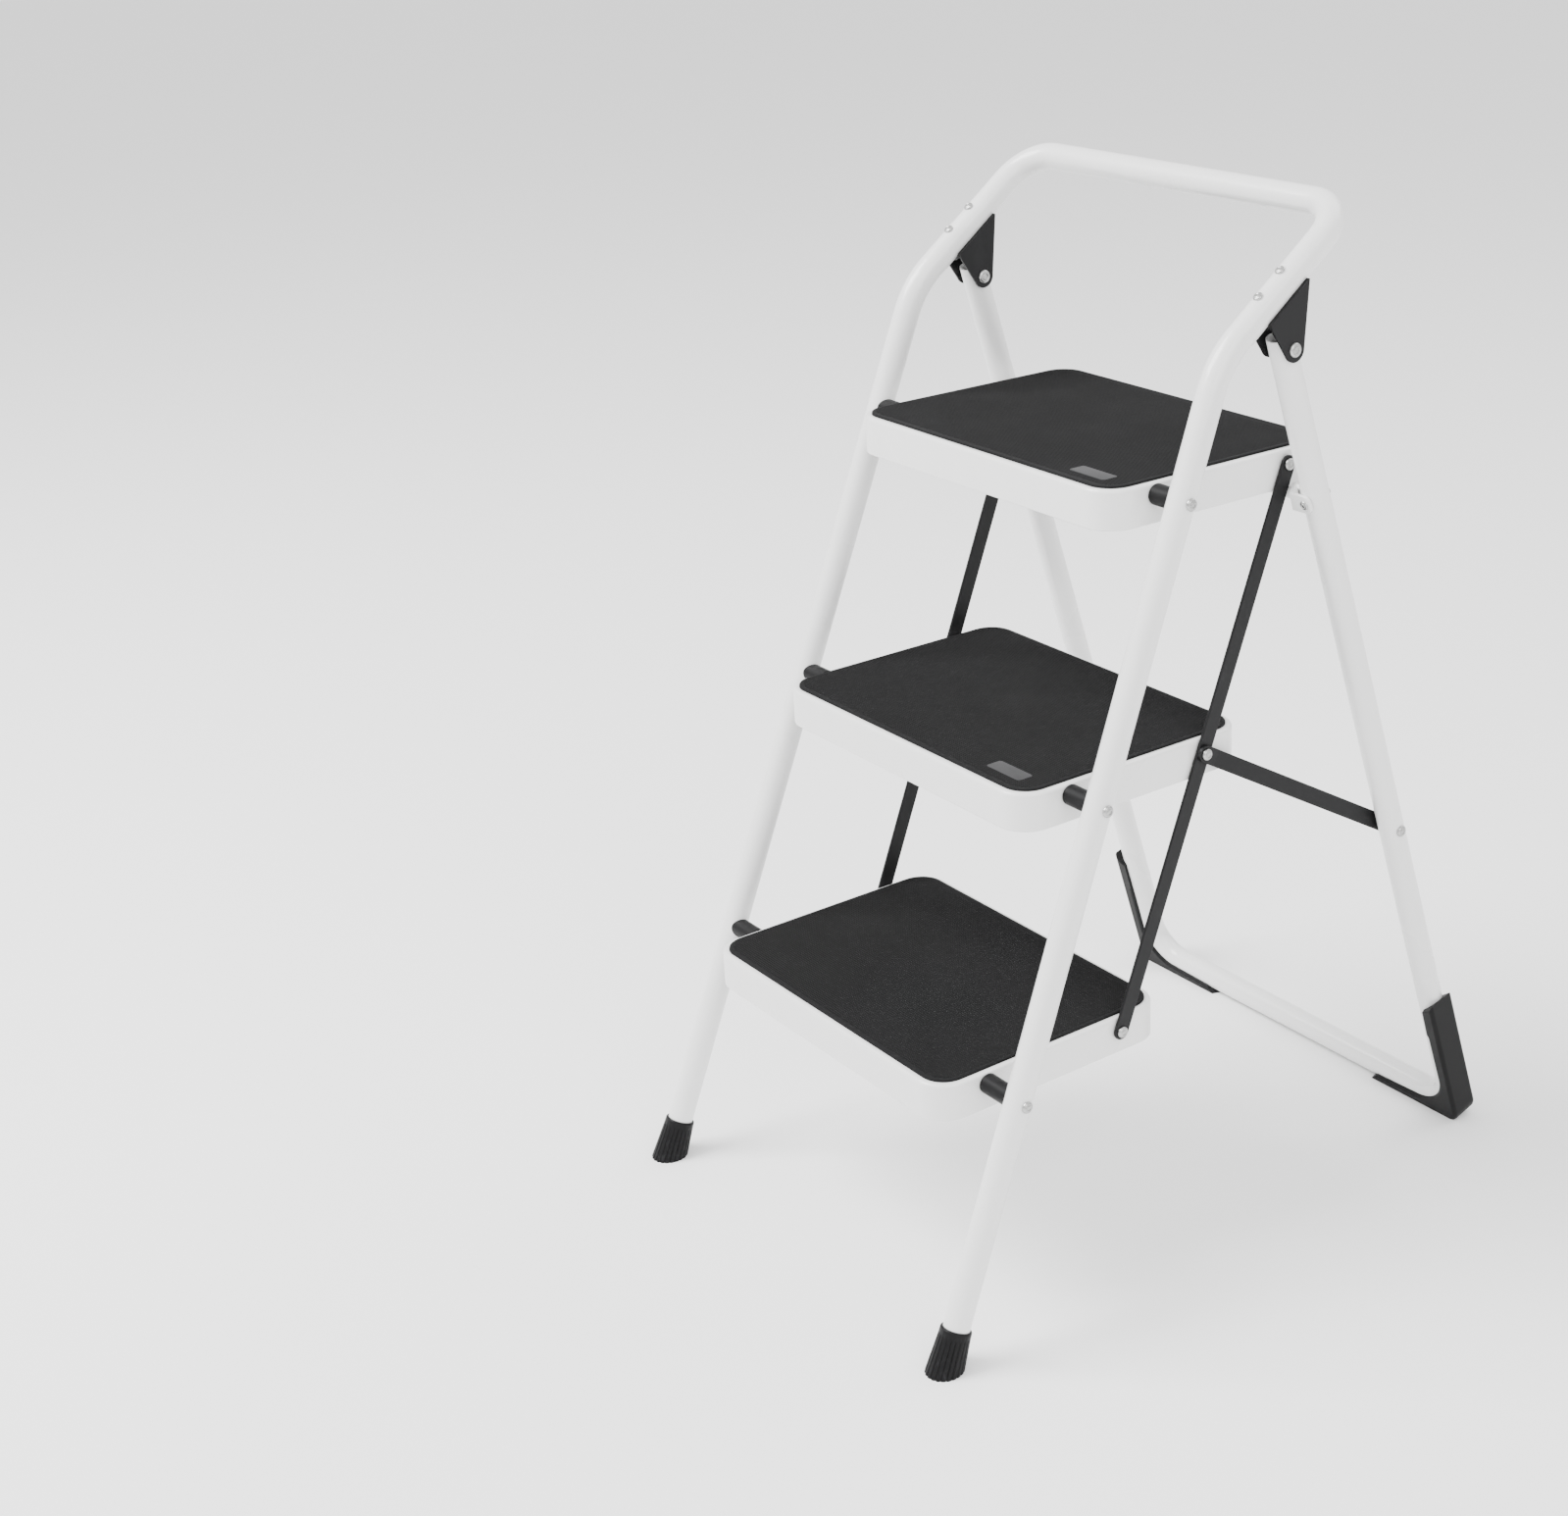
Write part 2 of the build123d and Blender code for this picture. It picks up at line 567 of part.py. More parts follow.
def make_latch_bracket():
    """Small channel under the top tread's deck that holds the latch pin."""
    deck_z = TREAD_TOPS["top"] - MAT_PROUD - MAT_RECESS - SHEET
    inner = LATCH_WIDTH / 2 + 0.5
    outer = inner + LATCH_SHEET
    ear = Polygon(
        (LATCH_PIN_Y - 14, deck_z - 0.02),
        (LATCH_PIN_Y + 14, deck_z - 0.02),
        (LATCH_PIN_Y + 5, LATCH_PIN_Z - 5),
        (LATCH_PIN_Y - 5, LATCH_PIN_Z - 5),
        align=None,
    )
    bracket = extrude(Plane.YZ * ear, amount=outer, both=True)
    inside = Pos(LATCH_PIN_Y, deck_z - LATCH_SHEET - 20) * Rectangle(60, 40)
    bracket -= extrude(Plane.YZ * inside, amount=inner, both=True)
    ends = [(x, LATCH_PIN_Y, LATCH_PIN_Z) for x in (-30, 30)]
    return bracket - rod(*ends, LATCH_PIN_RADIUS + SNUG_FIT)


def make_latch_pin():
    reach = LATCH_WIDTH / 2 + 0.5 + LATCH_SHEET
    ends = [(x, LATCH_PIN_Y, LATCH_PIN_Z) for x in (-reach, reach)]
    return rivet(*ends, LATCH_PIN_RADIUS, LATCH_PIN_HEAD_RADIUS, LATCH_PIN_HEAD_HEIGHT)


def make_latch():
    """Bent steel strip: a finger tab behind the tread and a hook under the cross tube."""
    barrel = LATCH_PIN_RADIUS + LATCH_SHEET
    tread_rear = tread_pin("top")[0] - PIN_FROM_FRONT + TREAD_DEPTH
    tab_end = tread_rear + 20
    y, z = LATCH_PIN_Y, LATCH_PIN_Z
    hook_y = CROSS_Y + CROSS_RADIUS + 1.0
    hook_z = CROSS_Z - CROSS_RADIUS - 1.0
    t = LATCH_SHEET
    strip = Polygon(
        (tab_end, z - t),
        (tab_end, z),
        (y - 1, z),
        (hook_y, z - 8),
        (hook_y, hook_z),
        (CROSS_Y + 1, hook_z),
        (CROSS_Y + 1, hook_z - t),
        (hook_y + t, hook_z - t),
        (hook_y + t, z - 8 - t),
        (y, z - t),
        align=None,
    )
    profile = strip + Pos(y, z) * Circle(barrel)
    latch = extrude(Plane.YZ * profile, amount=LATCH_WIDTH / 2, both=True)
    corners = latch.edges().filter_by(Axis.Z).filter_by(lambda e: e.center().Y > tab_end - 1)
    latch = fillet(corners, 8.0)
    hole_y = tab_end - 9
    latch -= rod((0, hole_y, z - 10), (0, hole_y, z + 10), LATCH_HOLE_RADIUS)
    return latch - rod((-30, y, z), (30, y, z), LATCH_PIN_RADIUS + RUNNING_FIT)


def latch_slot():
    """Slot in the top tread's rear skirt that the latch's tab comes out of."""
    tread_rear = tread_pin("top")[0] - PIN_FROM_FRONT + TREAD_DEPTH
    slot = RectangleRounded(LATCH_WIDTH + 3, 15, 2)
    plane = Plane(origin=(0, tread_rear + 5, LATCH_PIN_Z + 3.5), x_dir=(1, 0, 0), z_dir=(0, -1, 0))
    return extrude(plane * slot, amount=14)


def save(shape, name):
    shape.label = name
    export_step(shape, f"parts/{name}.step")


save(make_front_frame(), "front_frame")
save(make_bracket_rivets(), "bracket_rivets")
save(make_hinge_pins(), "hinge_pins")
save(make_spacers(), "tread_spacers")
save(make_rear_frame(), "rear_frame")
save(make_cross_tube(), "cross_tube")
save(make_cross_rivets(), "cross_tube_rivets")
save(make_stay_leg_rivets(), "stay_leg_rivets")
for word, sign in SIDES.items():
    save(make_bracket(sign), f"hinge_bracket_{word}")
    save(make_foot_cap(sign), f"front_foot_{word}")
    save(make_rear_boot(sign), f"rear_boot_{word}")
    save(make_link_bar(sign), f"link_bar_{word}")
    save(make_stay(sign), f"stay_{word}")
    save(make_stay_end_rivets(sign), f"stay_end_rivet_{word}")
for tread in TREAD_TOPS:
    tray = make_tray(tread)
    if tread == "top":
        tray -= latch_slot()
    save(tray, f"{tread}_tread")
    save(make_mat(tread), f"{tread}_mat")
    save(make_front_pins(tread), f"{tread}_front_pins")
    save(make_link_pins(tread), f"{tread}_link_pins")
save(make_latch_bracket(), "latch_bracket")
save(make_latch_pin(), "latch_pin")
save(make_latch(), "latch")
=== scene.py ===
import json
from math import cos, pi, radians, sin

import bmesh
import bpy
import numpy as np
from bpy.props import FloatProperty, FloatVectorProperty, IntProperty, PointerProperty
from bpy.types import Operator, Panel, PropertyGroup
from mathutils import Matrix, Vector


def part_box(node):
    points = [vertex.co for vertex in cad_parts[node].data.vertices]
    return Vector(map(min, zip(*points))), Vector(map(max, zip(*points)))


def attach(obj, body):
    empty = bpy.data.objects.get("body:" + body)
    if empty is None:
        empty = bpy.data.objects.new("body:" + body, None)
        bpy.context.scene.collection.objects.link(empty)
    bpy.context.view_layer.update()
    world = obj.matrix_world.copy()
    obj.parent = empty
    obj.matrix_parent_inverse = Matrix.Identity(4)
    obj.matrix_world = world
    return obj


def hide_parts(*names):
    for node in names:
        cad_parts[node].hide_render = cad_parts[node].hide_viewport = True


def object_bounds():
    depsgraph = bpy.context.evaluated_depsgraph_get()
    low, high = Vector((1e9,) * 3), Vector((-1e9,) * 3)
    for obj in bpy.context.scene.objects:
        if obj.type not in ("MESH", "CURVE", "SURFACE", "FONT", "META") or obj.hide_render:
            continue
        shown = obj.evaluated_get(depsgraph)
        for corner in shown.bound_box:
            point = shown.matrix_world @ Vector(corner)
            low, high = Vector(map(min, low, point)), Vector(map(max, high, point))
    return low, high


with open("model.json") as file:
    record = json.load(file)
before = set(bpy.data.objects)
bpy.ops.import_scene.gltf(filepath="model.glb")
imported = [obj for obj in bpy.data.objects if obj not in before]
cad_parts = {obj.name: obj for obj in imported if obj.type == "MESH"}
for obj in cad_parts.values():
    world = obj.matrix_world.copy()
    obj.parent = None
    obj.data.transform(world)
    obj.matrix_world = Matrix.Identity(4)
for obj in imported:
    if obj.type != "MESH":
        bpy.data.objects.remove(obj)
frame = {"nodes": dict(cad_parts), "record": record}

bl_info = {
    "name": "Folding step stool",
    "version": (1, 0, 0),
    "blender": (4, 5, 0),
    "location": "3D View > Sidebar > Step stool",
    "description": "Finishes, ribbed mats, fluted feet and rivet rims for a folding step stool",
    "category": "Object",
}

CAD_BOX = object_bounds()
TREADS = ("top", "middle", "lower")
SIDES = {"left": -1, "right": 1}
MM = 0.001
MERGE_WITHIN = 1e-6
SMOOTH_ANGLE = radians(35)

# Mats and their plain patches
MAT_EDGE = 0.8 * MM
PATCH_FROM_SIDE = 47 * MM
PATCH_FROM_FRONT = 24 * MM
PATCH_CORNER = 3 * MM
PATCH_SUNK = 1.2 * MM
PATCH_PROUD = 0.15 * MM
PATCH_EDGE = 0.5 * MM

# Feet
STEPS_PER_FLUTE = 8
CUT_BELOW_FLOOR = 14 * MM
BORE_END = 10 * MM

# Rivet heads, and the rolled rim's size against a head's radius
HEAD_DEPTH = 2.0 * MM
HEAD_AGAINST_WIDEST = 0.8
RIM_SHARE = 0.46
WIRE_SHARE = 0.11

FLOOR_REACH = 14.0

# Which finish each CAD node carries
COATED_WHITE = (
    "front_frame", "rear_frame", "cross_tube", "top_tread", "middle_tread", "lower_tread",
)
COATED_BLACK = (
    "hinge_bracket_left", "hinge_bracket_right", "link_bar_left", "link_bar_right",
    "stay_left", "stay_right",
)
PLATED = (
    "bracket_rivets", "hinge_pins", "cross_tube_rivets", "stay_leg_rivets",
    "stay_end_rivet_left", "stay_end_rivet_right", "top_front_pins", "middle_front_pins",
    "lower_front_pins", "top_link_pins", "middle_link_pins", "lower_link_pins",
    "latch_pin", "latch_bracket", "latch",
)
MOULDED = ("rear_boot_left", "rear_boot_right", "tread_spacers")

# Rivets whose heads get a rolled rim, by the body they move with
RIMMED = {
    "front_frame": (
        "bracket_rivets", "hinge_pins", "top_front_pins", "middle_front_pins", "lower_front_pins",
    ),
    "rear_frame": ("cross_tube_rivets", "stay_leg_rivets"),
    "top_tread": ("top_link_pins",),
    "middle_tread": ("middle_link_pins",),
    "lower_tread": ("lower_link_pins",),
}


# Sizes and colours


class StoolFinishes(PropertyGroup):
    white: FloatVectorProperty(
        name="White coat", description="Colour of the tubes and trays",
        subtype="COLOR", size=3, min=0, max=1, default=(0.80, 0.80, 0.795),
    )
    black: FloatVectorProperty(
        name="Black coat", description="Colour of the brackets, link bars and stays",
        subtype="COLOR", size=3, min=0, max=1, default=(0.0085, 0.0085, 0.009),
    )
    rubber: FloatVectorProperty(
        name="Rubber", description="Colour of the tread mats",
        subtype="COLOR", size=3, min=0, max=1, default=(0.0075, 0.0075, 0.0078),
    )
    moulding: FloatVectorProperty(
        name="Moulding", description="Colour of the feet, boots and spacers",
        subtype="COLOR", size=3, min=0, max=1, default=(0.0045, 0.0045, 0.0048),
    )
    zinc: FloatVectorProperty(
        name="Zinc", description="Colour of the rivets and the latch",
        subtype="COLOR", size=3, min=0, max=1, default=(0.46, 0.46, 0.455),
    )


class MatSizes(PropertyGroup):
    corner: FloatProperty(
        name="Corner", description="Radius of the mat's corners",
        default=23.9 * MM, min=0.005, unit="LENGTH",
    )
    border: FloatProperty(
        name="Border", description="Width of the plain border round the ribs",
        default=5.0 * MM, min=0.001, unit="LENGTH",
    )
    pitch: FloatProperty(
        name="Rib pitch", description="Distance from one rib to the next",
        default=2.6 * MM, min=0.001, unit="LENGTH",
    )
    rib_width: FloatProperty(
        name="Rib width", description="Width of one rib",
        default=1.6 * MM, min=0.0003, unit="LENGTH",
    )
    rib_height: FloatProperty(
        name="Rib height", description="Height of a rib above the field",
        default=0.55 * MM, min=0.0001, unit="LENGTH",
    )
    patch_length: FloatProperty(
        name="Patch length", description="Length of the plain patch near the front corner",
        default=46.0 * MM, min=0.005, unit="LENGTH",
    )
    patch_width: FloatProperty(
        name="Patch width", description="Width of the plain patch near the front corner",
        default=17.0 * MM, min=0.005, unit="LENGTH",
    )


class FootSizes(PropertyGroup):
    height: FloatProperty(
        name="Height", description="Length of a foot cap up the leg",
        default=40.0 * MM, min=0.01, unit="LENGTH",
    )
    top_radius: FloatProperty(
        name="Top radius", description="Outer radius at the cap's mouth",
        default=14.6 * MM, min=0.01, unit="LENGTH",
    )
    floor_radius: FloatProperty(
        name="Floor radius", description="Outer radius at the floor",
        default=17.3 * MM, min=0.01, unit="LENGTH",
    )
    bore: FloatProperty(
        name="Bore", description="Radius of the hole for the leg",
        default=12.6 * MM, min=0.005, unit="LENGTH",
    )
    flutes: IntProperty(name="Flutes", description="Grooves round a cap", default=22, min=4)
    flute_depth: FloatProperty(
        name="Flute depth", description="Depth of a groove",
        default=0.9 * MM, min=0.0, unit="LENGTH",
    )
    splay: FloatProperty(
        name="Splay", description="How far a leg leans in for each metre of height",
        default=0.02305,
    )


class StageSizes(PropertyGroup):
    floor: FloatVectorProperty(
        name="Floor", description="Colour of the floor", subtype="COLOR", size=3, min=0, max=1,
        default=(0.96, 0.96, 0.96),
    )
    key_power: FloatProperty(
        name="Key light", description="Power of the main light", default=330.0, unit="POWER",
    )
    fill_power: FloatProperty(
        name="Fill light", description="Power of the fill light", default=70.0, unit="POWER",
    )
    surround: FloatProperty(
        name="Surround", description="Strength of the light all round", default=1.5,
    )


# Node building


class Number:
    """A socket that carries a number, with arithmetic that adds Math nodes."""

    def __init__(self, nodes, socket):
        self.nodes = nodes
        self.socket = socket

    def _with(self, operation, first, second):
        sockets = {0: first, 1: second}
        return self.nodes.number("ShaderNodeMath", {"operation": operation}, sockets)

    def __add__(self, other):
        return self._with("ADD", self, other)

    def __sub__(self, other):
        return self._with("SUBTRACT", self, other)

    def __rsub__(self, other):
        return self._with("SUBTRACT", other, self)

    def __mul__(self, other):
        return self._with("MULTIPLY", self, other)

    def __pow__(self, other):
        return self._with("POWER", self, other)

    def at_least(self, other):
        return self._with("MAXIMUM", self, other)

    __radd__ = __add__
    __rmul__ = __mul__


class Nodes:
    """A node tree that is added to with one call for each node."""

    def __init__(self, tree):
        self.tree = tree

    def node(self, kind, settings=None, sockets=None):
        made = self.tree.nodes.new(kind)
        for name, value in (settings or {}).items():
            if name == "stops":
                ramp = made.color_ramp.elements
                for element, (position, shade) in zip(ramp, value):
                    element.position = position
                    element.color = (shade, shade, shade, 1)
            else:
                setattr(made, name, value)
        for name, value in (sockets or {}).items():
            target = made.inputs[name]
            if isinstance(value, Number):
                self.tree.links.new(value.socket, target)
            elif isinstance(value, bpy.types.NodeSocket):
                self.tree.links.new(value, target)
            else:
                target.default_value = value
        return made

    def number(self, kind, settings=None, sockets=None):
        return Number(self, self.node(kind, settings, sockets).outputs[0])


class Finish(Nodes):
    """One material: a shader with its colour, roughness and relief worked out in nodes."""

    def __init__(self, name, **constants):
        self.material = bpy.data.materials.new(name)
        self.material.use_nodes = True
        self.material.node_tree.nodes.clear()
        super().__init__(self.material.node_tree)
        self.shader = self.node("ShaderNodeBsdfPrincipled")
        for socket, value in constants.items():
            label = socket.replace("_", " ").title().replace("Ior", "IOR")
            self.shader.inputs[label].default_value = value
        output = self.node("ShaderNodeOutputMaterial")
        self.tree.links.new(self.shader.outputs[0], output.inputs["Surface"])
        self.place = self.node("ShaderNodeTexCoord").outputs["Object"]

    def noise(self, scale, detail=2.0, stretch=(1, 1, 1), roughness=0.5):
        """Cloudy pattern from 0 to 1, its scale in features to the metre."""
        mapping = self.node("ShaderNodeMapping", None, {"Vector": self.place, "Scale": stretch})
        sockets = {
            "Vector": mapping.outputs[0],
            "Scale": scale,
            "Detail": detail,
            "Roughness": roughness,
        }
        return self.number("ShaderNodeTexNoise", None, sockets)

    def above(self, pattern, low, high):
        """A pattern stretched so that low gives 0 and high gives 1."""
        return self.number("ShaderNodeValToRGB", {"stops": ((low, 0), (high, 1))}, {0: pattern})

    def colour(self, first, second, share):
        """Mix of two colours by a pattern, into the base colour."""
        mix = self.node("ShaderNodeMix", {"data_type": "RGBA"}, {"Factor": share})
        mix.inputs[6].default_value = (*first, 1)
        mix.inputs[7].default_value = (*second, 1)
        self.tree.links.new(mix.outputs[2], self.shader.inputs["Base Color"])

    def rough(self, value):
        self.tree.links.new(value.socket, self.shader.inputs["Roughness"])

    def relief(self, height, depth):
        sockets = {"Height": height, "Strength": 1.0, "Distance": depth}
        bump = self.node("ShaderNodeBump", None, sockets)
        self.tree.links.new(bump.outputs[0], self.shader.inputs["Normal"])


def scaled(colour, factor):
    return tuple(min(1.0, channel * factor) for channel in colour)


def white_coat(colour):
    """Glossy white powder coat: orange peel, faint cloudiness and a few dull rubs."""
    coat = Finish("white_powder_coat", coat_weight=0.35, coat_roughness=0.10)
    peel = coat.noise(620, 2.0)
    fine = coat.noise(2600, 1.0)
    cloud = coat.noise(11, 3.0)
    rubs = coat.above(coat.noise(34, 5.0, stretch=(1, 1, 0.35)), 0.56, 0.74)
    coat.colour(colour, scaled(colour, 0.955), cloud * 0.6 + rubs * 0.4)
    coat.rough(0.25 + cloud * 0.06 + rubs * 0.16)
    coat.relief(peel + fine * 0.25, 0.045 * MM)
    return coat.material


def black_coat(colour):
    """Satin black powder coat with a fine leathery grain and paler rubbed places."""
    coat = Finish("black_powder_coat", specular_ior_level=0.16)
    grain = coat.noise(1500, 3.0)
    cloud = coat.noise(24, 4.0)
    rubs = coat.above(coat.noise(70, 6.0, stretch=(1, 0.5, 0.25)), 0.58, 0.72)
    coat.colour(colour, scaled(colour, 2.2), rubs * 0.5 + cloud * 0.2)
    coat.rough(0.38 + cloud * 0.10 + rubs * 0.10)
    coat.relief(grain, 0.05 * MM)
    return coat.material


def mat_rubber(colour):
    """Matt tread rubber: fine pitted grain, trodden places a little paler and smoother."""
    rubber = Finish("tread_rubber", specular_ior_level=0.12)
    grain = rubber.noise(2400, 3.0, roughness=0.65)
    trodden = rubber.above(rubber.noise(13, 4.0), 0.40, 0.70)
    dust = rubber.above(rubber.noise(300, 6.0, roughness=0.7), 0.60, 0.80)
    rubber.colour(colour, scaled(colour, 2.0), trodden * 0.08 + dust * 0.30)
    rubber.rough(0.78 - trodden * 0.05 + dust * 0.08)
    rubber.relief(grain, 0.08 * MM)
    return rubber.material


def patch_rubber(colour):
    """Smoother, greyer rubber of the plain patch."""
    patch = Finish("patch_rubber", specular_ior_level=0.2)
    grain = patch.noise(3200, 2.0)
    patch.colour(scaled(colour, 4.2), scaled(colour, 5.4), patch.noise(60, 3.0))
    patch.rough(0.46 + grain * 0.10)
    patch.relief(grain, 0.03 * MM)
    return patch.material


def moulded(colour):
    """Injection moulding: spark-eroded grain, faint flow marks and scuffs near the floor."""
    plastic = Finish("black_moulding", specular_ior_level=0.13)
    grain = plastic.noise(1900, 2.0)
    flow = plastic.noise(30, 3.0, stretch=(0.4, 0.4, 1))
    height = plastic.node("ShaderNodeSeparateXYZ", None, {0: plastic.place}).outputs["Z"]
    near_floor = {"Value": height, "From Min": 0.0, "From Max": 0.03, "To Min": 1.0, "To Max": 0.0}
    low = plastic.number("ShaderNodeMapRange", None, near_floor)
    scuff = plastic.above(plastic.noise(240, 5.0), 0.50, 0.70) * low
    plastic.colour(colour, scaled(colour, 5.0), scuff * 0.6 + flow * 0.10)
    plastic.rough(0.40 + flow * 0.10 + scuff * 0.25)
    plastic.relief(grain, 0.04 * MM)
    return plastic.material


def zinc_plate(colour):
    """Bright zinc plate: fine drawn grain with dull spots."""
    zinc = Finish("zinc_plate", metallic=1.0)
    grain = zinc.noise(2200, 3.0, stretch=(1, 0.15, 1))
    spots = zinc.above(zinc.noise(480, 4.0), 0.55, 0.72)
    zinc.colour(colour, scaled(colour, 0.66), spots * 0.6 + grain * 0.2)
    zinc.rough(0.24 + grain * 0.10 + spots * 0.18)
    zinc.relief(grain, 0.02 * MM)
    return zinc.material


# Meshes


def add_object(name, mesh):
    piece = bpy.data.objects.new(name, mesh)
    bpy.context.scene.collection.objects.link(piece)
    return piece


def mesh_from(name, shape):
    """A bmesh made a mesh: doubles merged, normals outward, smooth but at sharp edges."""
    bmesh.ops.remove_doubles(shape, verts=shape.verts, dist=MERGE_WITHIN)
    bmesh.ops.recalc_face_normals(shape, faces=shape.faces)
    mesh = bpy.data.meshes.new(name)
    shape.to_mesh(mesh)
    shape.free()
    smooth_by_angle(mesh)
    return mesh


def smooth_by_angle(mesh):
    mesh.shade_smooth()
    mesh.set_sharp_from_angle(angle=SMOOTH_ANGLE)


def join_rings(shape, rings):
    """Quads between rings of the same count, each ring closed on itself."""
    for below, above in zip(rings, rings[1:]):
        for i in range(len(below)):
            j = (i + 1) % len(below)
            shape.faces.new((below[i], below[j], above[j], above[i]))


def rounded_outline(half_x, half_y, corner, inset, steps=9):
    """Points round a rectangle with round corners, let in by inset."""
    radius = max(corner - inset, 0.2 * MM)
    reach_x, reach_y = half_x - inset - radius, half_y - inset - radius
    points = []
    for quarter, (sx, sy) in enumerate(((1, 1), (-1, 1), (-1, -1), (1, -1))):
        for step in range(steps + 1):
            turn = (quarter + step / steps) * pi / 2
            x, y = sx * reach_x + radius * cos(turn), sy * reach_y + radius * sin(turn)
            points.append((x, y))
    return points


def slab(shape, centre, half, corner, profile):
    """Closed slab over a rounded rectangle; profile is inset and height, from the bottom up."""
    rings = []
    for inset, z in profile:
        outline = rounded_outline(*half, corner, inset)
        rings.append([shape.verts.new((centre[0] + x, centre[1] + y, z)) for x, y in outline])
    join_rings(shape, rings)
    shape.faces.new(rings[0])
    shape.faces.new(rings[-1])


def spread(modifier, values):
    """Sets a node modifier's inputs by the identifiers of their names."""
    for item in modifier.node_group.interface.items_tree:
        if item.item_type == "SOCKET" and item.in_out == "INPUT" and item.name in values:
            modifier[item.identifier] = values[item.name]


def settle(piece, tree, values):
    """Runs a node tree on a piece and keeps the result as its plain mesh."""
    modifier = piece.modifiers.new("build", "NODES")
    modifier.node_group = tree
    spread(modifier, values)
    depsgraph = bpy.context.evaluated_depsgraph_get()
    mesh = bpy.data.meshes.new_from_object(piece.evaluated_get(depsgraph))
    piece.modifiers.remove(modifier)
    piece.data = mesh
    mesh.name = piece.name
    return piece


def new_tree(name, inputs):
    """Geometry node tree with a Geometry in and out and named number inputs."""
    tree = bpy.data.node_groups.new(name, "GeometryNodeTree")
    tree.interface.new_socket("Geometry", in_out="INPUT", socket_type="NodeSocketGeometry")
    for label in inputs:
        tree.interface.new_socket(label, in_out="INPUT", socket_type="NodeSocketFloat")
    tree.interface.new_socket("Geometry", in_out="OUTPUT", socket_type="NodeSocketGeometry")
    nodes = Nodes(tree)
    given = nodes.node("NodeGroupInput").outputs
    return nodes, {label: Number(nodes, given[label]) for label in inputs}, given["Geometry"]


def finish_tree(nodes, geometry, material):
    """Ends a tree: instances made real, a material set, and out."""
    real = nodes.node("GeometryNodeRealizeInstances", None, {"Geometry": geometry})
    sockets = {"Geometry": real.outputs[0], "Material": material}
    painted = nodes.node("GeometryNodeSetMaterial", None, sockets)
    nodes.node("NodeGroupOutput", None, {"Geometry": painted.outputs[0]})
    return nodes.tree


def named_attribute(nodes, name, kind):
    """The socket that reads a points attribute by name."""
    sockets = {"Name": name}
    read = nodes.node("GeometryNodeInputNamedAttribute", {"data_type": kind}, sockets)
    return read.outputs["Attribute"]


def rib_tree(material):
    """A low rib for each point, as long as the rounded field is wide there."""
    sizes = ("Half width", "Half depth", "Corner", "Rib width", "Rib height")
    nodes, size, points = new_tree("mat_ribs", sizes)
    offset = Number(nodes, named_attribute(nodes, "from_middle", "FLOAT"))
    past = (offset - (size["Half depth"] - size["Corner"])).at_least(0.0)
    chord = (size["Corner"] * size["Corner"] - past * past).at_least(0.0) ** 0.5
    length = size["Half width"] - size["Corner"] + chord
    unit_bar = {"Vertices": 8, "Radius": 1.0, "Depth": 2.0}
    bar = nodes.node("GeometryNodeMeshCylinder", {"fill_type": "NGON"}, unit_bar)
    across = {"Geometry": bar.outputs["Mesh"], "Rotation": (0, radians(90), 0)}
    lying = nodes.node("GeometryNodeTransform", None, across)
    rib_size = {"X": length, "Y": size["Rib width"] * 0.5, "Z": size["Rib height"]}
    stretch = nodes.node("ShaderNodeCombineXYZ", None, rib_size)
    ribs = nodes.node(
        "GeometryNodeInstanceOnPoints", None,
        {"Points": points, "Instance": lying.outputs[0], "Scale": stretch.outputs[0]},
    )
    return finish_tree(nodes, ribs.outputs[0], material)


def rim_tree(material):
    """A rolled rim for each point, turned to the point's axis and sized to its head."""
    nodes, size, points = new_tree("rivet_rims", ("Rim share", "Wire share"))
    axis = named_attribute(nodes, "axis", "FLOAT_VECTOR")
    head = named_attribute(nodes, "head", "FLOAT")
    circle = "GeometryNodeCurvePrimitiveCircle"
    loop = nodes.node(circle, None, {"Resolution": 28, "Radius": size["Rim share"]})
    wire = nodes.node(circle, None, {"Resolution": 8, "Radius": size["Wire share"]})
    curves = {"Curve": loop.outputs["Curve"], "Profile Curve": wire.outputs["Curve"]}
    rim = nodes.node("GeometryNodeCurveToMesh", None, curves)
    turn = nodes.node("FunctionNodeAlignRotationToVector", {"axis": "Z"}, {"Vector": axis})
    rims = nodes.node(
        "GeometryNodeInstanceOnPoints", None,
        {
            "Points": points,
            "Instance": rim.outputs[0],
            "Rotation": turn.outputs[0],
            "Scale": head,
        },
    )
    return finish_tree(nodes, rims.outputs[0], material)


def islands(node):
    """Vertices of each separate solid in a CAD node, as arrays."""
    shape = bmesh.new()
    shape.from_mesh(frame["nodes"][node].data)
    bmesh.ops.remove_doubles(shape, verts=shape.verts, dist=MERGE_WITHIN)
    shape.verts.index_update()
    seen = set()
    groups = []
    for seed in shape.verts:
        if seed.index in seen:
            continue
        seen.add(seed.index)
        group, edge = [seed], [seed]
        while edge:
            vert = edge.pop()
            for link in vert.link_edges:
                other = link.other_vert(vert)
                if other.index not in seen:
                    seen.add(other.index)
                    group.append(other)
                    edge.append(other)
        group.sort(key=lambda v: v.index)
        groups.append(np.array([v.co[:] for v in group]))
    shape.free()
    return groups


